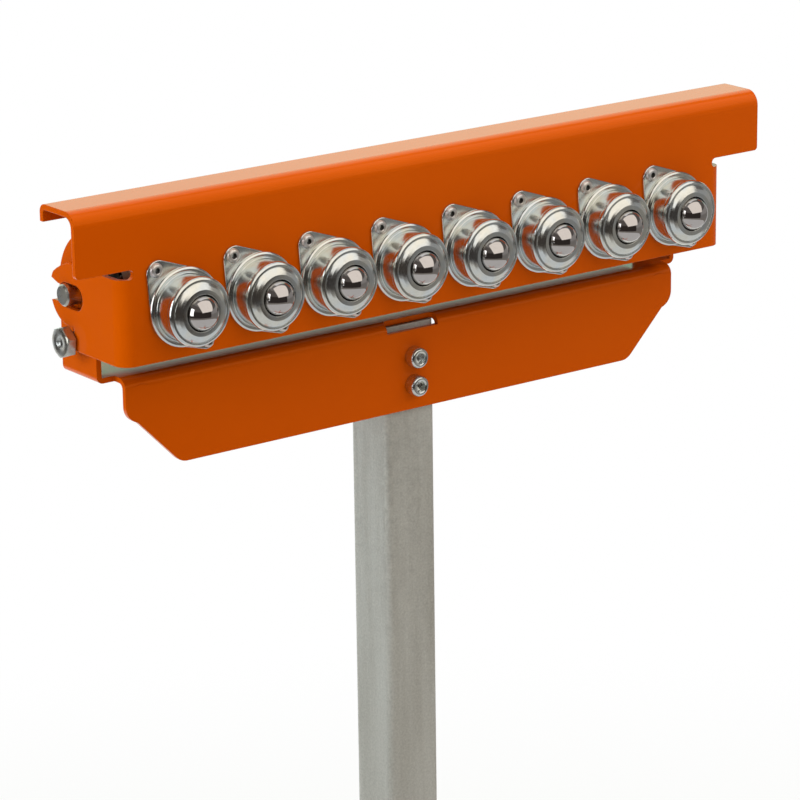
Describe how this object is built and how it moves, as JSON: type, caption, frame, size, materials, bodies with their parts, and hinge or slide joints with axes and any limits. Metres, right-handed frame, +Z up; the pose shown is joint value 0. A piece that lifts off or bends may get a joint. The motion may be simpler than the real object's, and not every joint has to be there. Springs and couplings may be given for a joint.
{
  "type": "roller stand",
  "caption": "Free-standing work support with a flip head of ball transfers, slide edge and roller, on a telescoping clamped post and folding legs.",
  "frame": {"origin": "on the floor, under the axis of the post, with the stand upright on its four feet", "axes": "+Z up the post, +X along the head to its right end seen from the back of the stand's panel (the panel and its balls face -Y), +Y to the back, where the roller and the knob are"},
  "size_m": [0.65, 0.65, 0.957],
  "materials": {
    "orange_paint": "gloss powder coat",
    "zinc_plate": "bright zinc plate",
    "galvanised_steel": "satin galvanised",
    "bearing_steel": "polished",
    "black_plastic": "fine grained",
    "black_rubber": "matte"
  },
  "bodies": {
    "base": {"outer_column": "orange_paint", "column_collar": "black_plastic", "column_end_cap": "black_plastic", "clamp_weld_nut": "orange_paint", "leg_hub": "orange_paint", "leg_bolts": "zinc_plate", "leg_nuts": "zinc_plate"},
    "post": {"inner_post": "galvanised_steel", "post_glide": "black_plastic", "head_bracket": "orange_paint", "bracket_screws": "zinc_plate", "bracket_nuts": "zinc_plate", "roller_axle": "zinc_plate", "axle_spacers": "zinc_plate", "axle_clips": "bearing_steel", "bearing_inner_rings": "bearing_steel", "stop_pins": "zinc_plate", "stop_nuts": "zinc_plate"},
    "head": {"head_cradle": "orange_paint", "cup_rivets": "zinc_plate", "cup_seat_balls": "bearing_steel", "ball_cup_1": "zinc_plate", "ball_cup_2": "zinc_plate", "ball_cup_3": "zinc_plate", "ball_cup_4": "zinc_plate", "ball_cup_5": "zinc_plate", "ball_cup_6": "zinc_plate", "ball_cup_7": "zinc_plate", "ball_cup_8": "zinc_plate"},
    "roller": {"roller_tube": "galvanised_steel", "roller_end_caps": "zinc_plate", "bearing_outer_rings": "bearing_steel", "bearing_balls": "bearing_steel"},
    "knob": {"clamp_knob": "black_plastic", "clamp_screw": "zinc_plate"},
    "ball_1": {"ball_1": "bearing_steel"},
    "ball_2": {"ball_2": "bearing_steel"},
    "ball_3": {"ball_3": "bearing_steel"},
    "ball_4": {"ball_4": "bearing_steel"},
    "ball_5": {"ball_5": "bearing_steel"},
    "ball_6": {"ball_6": "bearing_steel"},
    "ball_7": {"ball_7": "bearing_steel"},
    "ball_8": {"ball_8": "bearing_steel"},
    "leg_right": {"leg_right": "orange_paint", "foot_right": "black_rubber"},
    "leg_rear": {"leg_rear": "orange_paint", "foot_rear": "black_rubber"},
    "leg_left": {"leg_left": "orange_paint", "foot_left": "black_rubber"},
    "leg_front": {"leg_front": "orange_paint", "foot_front": "black_rubber"}
  },
  "joints": [
    {"name": "post_slide", "type": "slide", "parent": "base", "child": "post", "axis": [0, 0, 1], "range_m": [-0.217, 0.164]},
    {"name": "knob_turn", "type": "hinge", "parent": "base", "child": "knob", "pos_m": [0, 0, 0.54], "axis": [0, 1, 0], "range_deg": [0, 540]},
    {"name": "head_flip", "type": "hinge", "parent": "post", "child": "head", "pos_m": [0, 0.0056, 0.9092], "axis": [-1, 0, 0], "range_deg": [0, 188]},
    {"name": "roller_spin", "type": "hinge", "parent": "post", "child": "roller", "pos_m": [0, 0.0056, 0.9092], "axis": [1, 0, 0], "continuous": true},
    {"name": "ball_1_roll", "type": "hinge", "parent": "head", "child": "ball_1", "pos_m": [-0.14, -0.05166, 0.9075], "axis": [1, 0, 0], "continuous": true},
    {"name": "ball_2_roll", "type": "hinge", "parent": "head", "child": "ball_2", "pos_m": [-0.1, -0.05166, 0.9075], "axis": [1, 0, 0], "continuous": true},
    {"name": "ball_3_roll", "type": "hinge", "parent": "head", "child": "ball_3", "pos_m": [-0.06, -0.05166, 0.9075], "axis": [1, 0, 0], "continuous": true},
    {"name": "ball_4_roll", "type": "hinge", "parent": "head", "child": "ball_4", "pos_m": [-0.02, -0.05166, 0.9075], "axis": [1, 0, 0], "continuous": true},
    {"name": "ball_5_roll", "type": "hinge", "parent": "head", "child": "ball_5", "pos_m": [0.02, -0.05166, 0.9075], "axis": [1, 0, 0], "continuous": true},
    {"name": "ball_6_roll", "type": "hinge", "parent": "head", "child": "ball_6", "pos_m": [0.06, -0.05166, 0.9075], "axis": [1, 0, 0], "continuous": true},
    {"name": "ball_7_roll", "type": "hinge", "parent": "head", "child": "ball_7", "pos_m": [0.1, -0.05166, 0.9075], "axis": [1, 0, 0], "continuous": true},
    {"name": "ball_8_roll", "type": "hinge", "parent": "head", "child": "ball_8", "pos_m": [0.14, -0.05166, 0.9075], "axis": [1, 0, 0], "continuous": true},
    {"name": "leg_right_fold", "type": "hinge", "parent": "base", "child": "leg_right", "pos_m": [0.0375, 0, 0.24], "axis": [0, 1, 0], "range_deg": [0, 48]},
    {"name": "leg_rear_fold", "type": "hinge", "parent": "base", "child": "leg_rear", "pos_m": [0, 0.0375, 0.24], "axis": [-1, 0, 0], "range_deg": [0, 48]},
    {"name": "leg_left_fold", "type": "hinge", "parent": "base", "child": "leg_left", "pos_m": [-0.0375, 0, 0.24], "axis": [0, -1, 0], "range_deg": [0, 48]},
    {"name": "leg_front_fold", "type": "hinge", "parent": "base", "child": "leg_front", "pos_m": [0, -0.0375, 0.24], "axis": [1, 0, 0], "range_deg": [0, 48]}
  ]
}
